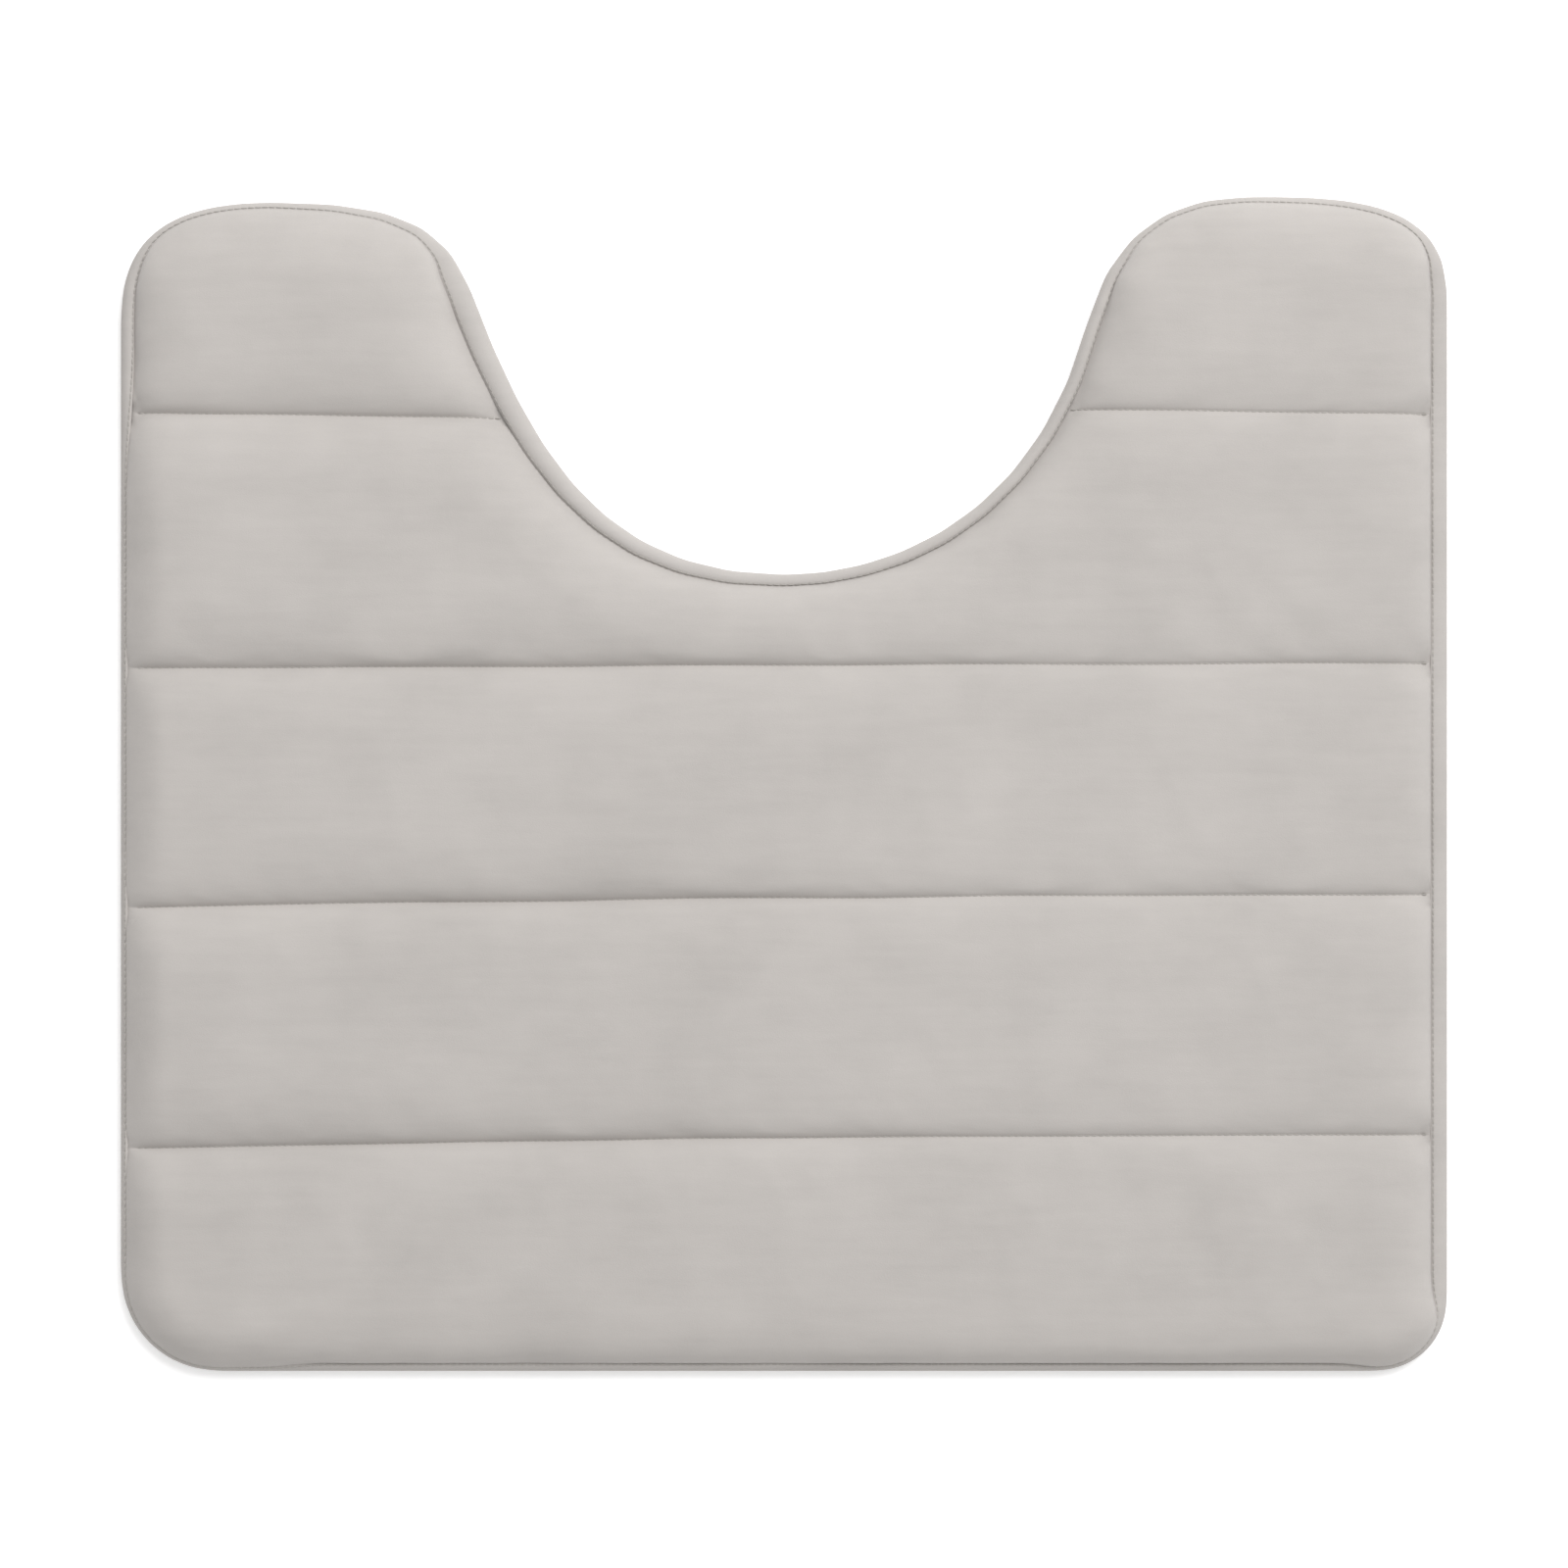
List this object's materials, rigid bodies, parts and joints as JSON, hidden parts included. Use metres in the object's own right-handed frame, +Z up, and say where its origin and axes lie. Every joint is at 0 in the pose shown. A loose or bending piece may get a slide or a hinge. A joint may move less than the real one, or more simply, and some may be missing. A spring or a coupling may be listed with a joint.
{
  "type": "contour bath mat",
  "caption": "Memory-foam bath mat with a U-shaped cut-out for a toilet pedestal: velvet cover quilted across in wide padded panels, rolled edge and a non-slip dotted underside.",
  "frame": {"origin": "on the floor, under the middle of the mat's bounding box", "axes": "+X to the right of a person who stands on the mat and faces the toilet, +Y towards the cut-out, +Z up"},
  "size_m": [0.61, 0.54, 0.02],
  "materials": {
    "velvet": "short brushed velvet pile, pale warm grey, matt with a soft sheen",
    "binding": "the same brushed velvet, rolled tight round the edge",
    "foam": "open-cell polyurethane memory foam, cream",
    "backing": "plain-woven polyester backing, warm grey",
    "grip_dots": "soft PVC dots, satin, slightly translucent",
    "thread": "polyester sewing thread, matched to the velvet"
  },
  "bodies": {
    "root": {"velvet_cover": "velvet", "foam_core": "foam", "backing_fabric": "backing", "edge_binding": "binding", "needle_thread_left_lobe_seam": "thread", "needle_thread_right_lobe_seam": "thread", "needle_thread_rear_seam": "thread", "needle_thread_middle_seam": "thread", "needle_thread_front_seam": "thread", "needle_thread_binding": "thread", "bobbin_thread_left_lobe_seam": "thread", "bobbin_thread_right_lobe_seam": "thread", "bobbin_thread_rear_seam": "thread", "bobbin_thread_middle_seam": "thread", "bobbin_thread_front_seam": "thread", "bobbin_thread_binding": "thread", "grip_dots_left_lobe": "grip_dots", "grip_dots_right_lobe": "grip_dots", "grip_dots_rear_panel": "grip_dots", "grip_dots_upper_middle_panel": "grip_dots", "grip_dots_lower_middle_panel": "grip_dots", "grip_dots_front_panel": "grip_dots"}
  },
  "joints": []
}
